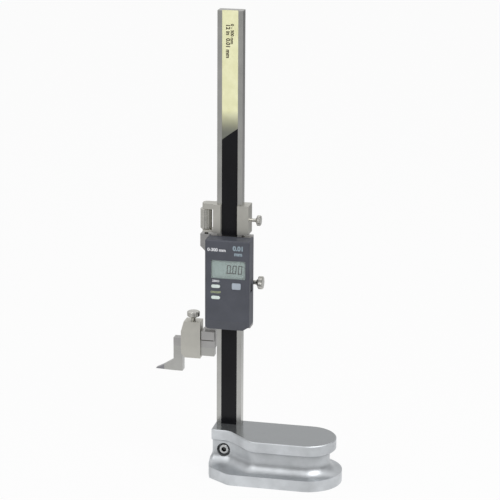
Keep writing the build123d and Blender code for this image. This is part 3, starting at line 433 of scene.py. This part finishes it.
MATERIALS = {
    "base": cast_base_material(),
    "column": ground_steel("column_steel", (0.50, 0.50, 0.48), "Z"),
    "scale_strip": strip_material(),
    "scale_label": label_material(),
    "slider_frame": jaw_steel(),
    "back_plate": ground_steel("plate_steel", (0.52, 0.52, 0.51), "X"),
    "carriage": ground_steel("carriage_steel", (0.63, 0.62, 0.57), "X", SATIN),
    "scriber_clamp": ground_steel("clamp_steel", (0.61, 0.60, 0.55), "Z", SATIN),
    "scriber": ground_steel("scriber_steel", (0.51, 0.51, 0.49), "X"),
    "carbide_tip": ground_steel("carbide", (0.30, 0.30, 0.32), "X", LAPPED),
    "slider_gib": ground_steel("gib_bronze", (0.62, 0.45, 0.22), "Z"),
    "housing": moulded_plastic("housing_plastic", (0.072, 0.077, 0.095)),
    "display_window": window_material(),
    "display_module": moulded_plastic("display_reflector", (0.53, 0.66, 0.635), (0.3, 0.4), 0.0),
    "circuit_board": moulded_plastic("board_laminate", (0.02, 0.16, 0.07), SEMI_GLOSS, 0.01, 900.0),
    "board_connector": moulded_plastic("connector_plastic", (0.02, 0.02, 0.02)),
    "switches": moulded_plastic("switch_plastic", (0.10, 0.10, 0.11)),
    "upper_left_button": moulded_plastic("button_white", (0.69, 0.77, 0.735), BUTTON, 0.01),
    "right_button": moulded_plastic("button_lavender", (0.40, 0.45, 0.51), BUTTON, 0.01),
    "port_plug": moulded_plastic("plug_rubber", (0.022, 0.022, 0.026), (0.6, 0.75), 0.04, 1400.0),
    "battery": satin_chrome("cell_steel", (0.66, 0.66, 0.64)),
    "column_clamp_screw": socket_steel(),
    "plate_screws": ground_steel("black_oxide", (0.06, 0.06, 0.065), "Y", SEMI_GLOSS),
    "slider_clamp_screw": satin_chrome("chrome", (0.66, 0.65, 0.61)),
    "slider_clamp_tip": satin_chrome("brass", (0.70, 0.50, 0.20)),
    "feed_rod": threaded("rod_thread", (0.58, 0.57, 0.54), FEED_PITCH),
}
SAME_AS = {
    "read_head": "circuit_board",
    "data_connector": "board_connector",
    "lower_left_button": "upper_left_button",
    "battery_cap": "housing",
    "battery_contact": "slider_clamp_tip",
    "carriage_clamp_tip": "slider_clamp_tip",
    "scriber_clamp_tip": "slider_clamp_tip",
    "carriage_clamp_screw": "slider_clamp_screw",
    "scriber_clamp_screw": "slider_clamp_screw",
    "feed_nut": "slider_clamp_screw",
    "gib_screws": "plate_screws",
    "housing_screws": "plate_screws",
    "board_screws": "plate_screws",
}


def dress_nodes():
    """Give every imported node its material."""
    for name, node in nodes.items():
        node.data.materials.clear()
        node.data.materials.append(MATERIALS[SAME_AS.get(name, name)])


# ---- Lettering -------------------------------------------------------------------------------
INKS = {
    "white": moulded_plastic("ink_white", (0.80, 0.81, 0.84), PRINTED, 0.0),
    "blue": moulded_plastic("ink_blue", (0.30, 0.38, 0.43), PRINTED, 0.0),
    "green": moulded_plastic("ink_green", (0.42, 0.47, 0.26), PRINTED, 0.0),
    "brown": moulded_plastic("ink_brown", (0.045, 0.032, 0.012), PRINTED, 0.0),
    "dark": moulded_plastic("ink_dark", (0.03, 0.035, 0.035), PRINTED, 0.0),
}
PRINT_RISE = 0.01 * MM    # the characters' middle in front of the face, and half their thickness
BOLD = 0.03               # outline thickened by this share of the characters' size
EXTRA_BOLD = 0.04
FACING_FRONT = Euler((math.pi / 2, 0, 0))
READING_DOWN = Euler((math.pi / 2, math.pi / 2, 0))

# Name, words, size in mm, mm from the housing's left (or, below 0, right) edge, mm below its
# top, boldness, ink, slot.
HOUSING_MARKS = (
    ("front_range", "0-300 mm", 4.6, 12.4, 10.2, BOLD, "white", "button_white"),
    ("front_step", "0.01", 6.6, -11.4, 7.8, EXTRA_BOLD, "blue", "button_lavender"),
    ("front_unit", "mm", 5.4, -11.4, 13.6, EXTRA_BOLD, "blue", "button_lavender"),
)
BUTTON_MARKS = {"upper_left_button": ("ZERO", "white"), "lower_left_button": ("ON/OFF", "green")}
BUTTON_MARK_SIZE = 2.9 * MM
BUTTON_MARK_RISE = 2.9 * MM           # above the button's top
# Name, words, size in mm, mm to the right of the column's centre line, mm below the label's top.
LABEL_MARKS = (
    ("label_range", "0 - 300 mm", 4.3, 1.9, 13.6),
    ("label_step", "12 in  0.01 mm", 5.6, -2.3, 13.8),
)


def lettering(name, text, size, place, turn, ink, body, align="CENTER", bold=BOLD):
    """Printed characters on a flat face; bold is a share of their size."""
    curve = bpy.data.curves.new(name, "FONT")
    curve.body = text
    curve.size = size
    curve.align_x = align
    curve.align_y = "CENTER"
    curve.extrude = PRINT_RISE
    curve.offset = bold * size
    curve.materials.append(INKS[ink])
    piece = bpy.data.objects.new(name, curve)
    piece.location = place
    piece.rotation_euler = turn
    scene.collection.objects.link(piece)
    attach(piece, body)


def add_lettering():
    low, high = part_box("housing")
    front = low[1] - PRINT_RISE
    for name, words, size, inward, drop, bold, ink, slot in HOUSING_MARKS:
        edge = low[0] if inward > 0 else high[0]
        place = (edge + inward * MM, front, high[2] - drop * MM)
        lettering(name, words, size * MM, place, FACING_FRONT, ink, "slider", bold=bold)
    for button, (words, ink) in BUTTON_MARKS.items():
        start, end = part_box(button)
        place = ((start[0] + end[0]) / 2, front, end[2] + BUTTON_MARK_RISE)
        lettering("mark_" + button, words, BUTTON_MARK_SIZE, place, FACING_FRONT, ink, "slider")
    low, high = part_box("scale_label")
    for name, words, size, right, drop in LABEL_MARKS:
        place = (right * MM, low[1] - PRINT_RISE, high[2] - drop * MM)
        lettering(name, words, size * MM, place, READING_DOWN, "brown", "stand",
                  align="LEFT", bold=EXTRA_BOLD)


# ---- Display ---------------------------------------------------------------------------------
READING = "0.00"
DIGIT_HEIGHT = 9.4 * MM
DIGIT_WIDTH = 4.4 * MM
DIGIT_STEP = 5.9 * MM
SEGMENT = 1.25 * MM
SEGMENT_GAP = 0.1 * SEGMENT
SLANT = 0.08
READING_INSET = 3.4 * MM              # from the window's right edge
READING_DEPTH = 0.05 * MM             # in front of the window's back face
SEGMENTS = {
    "0": "abcdef", "1": "bc", "2": "abged", "3": "abgcd", "4": "fgbc", "5": "afgcd",
    "6": "afgedc", "7": "abc", "8": "abcdefg", "9": "abcdfg",
}


def digit_polygons(character, left):
    """Corner points, in the display's plane, of the lit segments of one digit."""
    h, w, t = DIGIT_HEIGHT, DIGIT_WIDTH, SEGMENT
    spans = {
        "a": ((0, h), (w, h - t)), "g": ((0, (h + t) / 2), (w, (h - t) / 2)), "d": ((0, t), (w, 0)),
        "f": ((0, h), (t, h / 2)), "b": ((w - t, h), (w, h / 2)),
        "e": ((0, h / 2), (t, 0)), "c": ((w - t, h / 2), (w, 0)),
    }
    for key in SEGMENTS[character]:
        (x0, z1), (x1, z0) = spans[key]
        x0, z0, x1, z1 = x0 + SEGMENT_GAP, z0 + SEGMENT_GAP, x1 - SEGMENT_GAP, z1 - SEGMENT_GAP
        yield [(left + x + SLANT * z, z) for x, z in ((x0, z0), (x1, z0), (x1, z1), (x0, z1))]


def add_display_digits(text):
    """Reading on the liquid crystal, just inside the window."""
    low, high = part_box("display_window")
    depth = high[1] - READING_DEPTH
    bottom = (low[2] + high[2]) / 2 - DIGIT_HEIGHT / 2
    left = high[0] - READING_INSET - DIGIT_STEP * len(text.replace(".", ""))
    polygons = []
    for character in text:
        if character == ".":
            dot = left - (DIGIT_STEP - DIGIT_WIDTH) / 2 - SEGMENT / 2
            end = dot + SEGMENT
            polygons.append([(dot, 0), (end, 0), (end, SEGMENT), (dot, SEGMENT)])
        else:
            polygons.extend(digit_polygons(character, left))
            left += DIGIT_STEP
    vertices = [(x, depth, bottom + z) for polygon in polygons for x, z in polygon]
    faces = [tuple(range(i, i + 4)) for i in range(0, len(vertices), 4)]
    mesh = bpy.data.meshes.new("display_digits")
    mesh.from_pydata(vertices, [], faces)
    mesh.materials.append(INKS["dark"])
    piece = bpy.data.objects.new("display_digits", mesh)
    scene.collection.objects.link(piece)
    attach(piece, "slider")


# ---- Floor -----------------------------------------------------------------------------------
FLOOR_RADIUS = 20.0
FLOOR_COLOR = (0.72, 0.72, 0.72)
FLOOR_GLOW = 0.94         # share of plain white that the camera sees; the rest keeps the shadow
POOL_FAR = 0.62           # reflected floor, away from the object
POOL_SPAN = (0.15, 0.55)
POOL_RIGHT = 0.35         # share of it that is left on the right
POOL_RIGHT_SPAN = (0.15, 0.6)


def add_floor():
    """Pale paper, white to the camera; its reflections fade away from the object."""
    bpy.ops.mesh.primitive_circle_add(vertices=96, radius=FLOOR_RADIUS, fill_type="NGON")
    floor = bpy.context.object
    floor.name = "floor"
    material = new_material("floor_paper", FLOOR_COLOR, roughness=0.9, Specular_IOR_Level=0.2)
    fibres = stretched_noise(material, 60.0, detail=2.0)
    drive(material, remap(material, fibres, 0.85, 0.95), "Roughness")
    distance = add_node(material, "ShaderNodeVectorMath")
    distance.operation = "LENGTH"
    connect(material, coordinates(material), distance.inputs[0])
    pool = remap(material, distance.outputs["Value"], 1.0, POOL_FAR, POOL_SPAN, smooth=True)
    shade = remap(material, coordinate(material, "Object", "X"), 1.0, POOL_RIGHT, POOL_RIGHT_SPAN,
                  smooth=True)
    pool = math_node(material, "MULTIPLY", pool, shade)
    glow = add_node(material, "ShaderNodeEmission")
    connect(material, ray_switch(material, "Is Glossy Ray", 1.0, pool), glow.inputs["Strength"])
    share = ray_switch(material, "Is Camera Ray", 0.0, FLOOR_GLOW)
    share = ray_switch(material, "Is Glossy Ray", share, 1.0)
    share = ray_switch(material, "Is Transmission Ray", share, FLOOR_GLOW)
    mix = add_node(material, "ShaderNodeMixShader")
    connect(material, share, mix.inputs[0])
    connect(material, shader_of(material).outputs[0], mix.inputs[1])
    connect(material, glow.outputs[0], mix.inputs[2])
    surface = material.node_tree.nodes["Material Output"].inputs["Surface"]
    connect(material, mix.outputs[0], surface)
    floor.data.materials.append(material)


add_camera()
add_world()
for softbox in SOFTBOXES:
    add_softbox(*softbox)
add_floor()
dress_nodes()
add_display_digits(READING)
add_lettering()
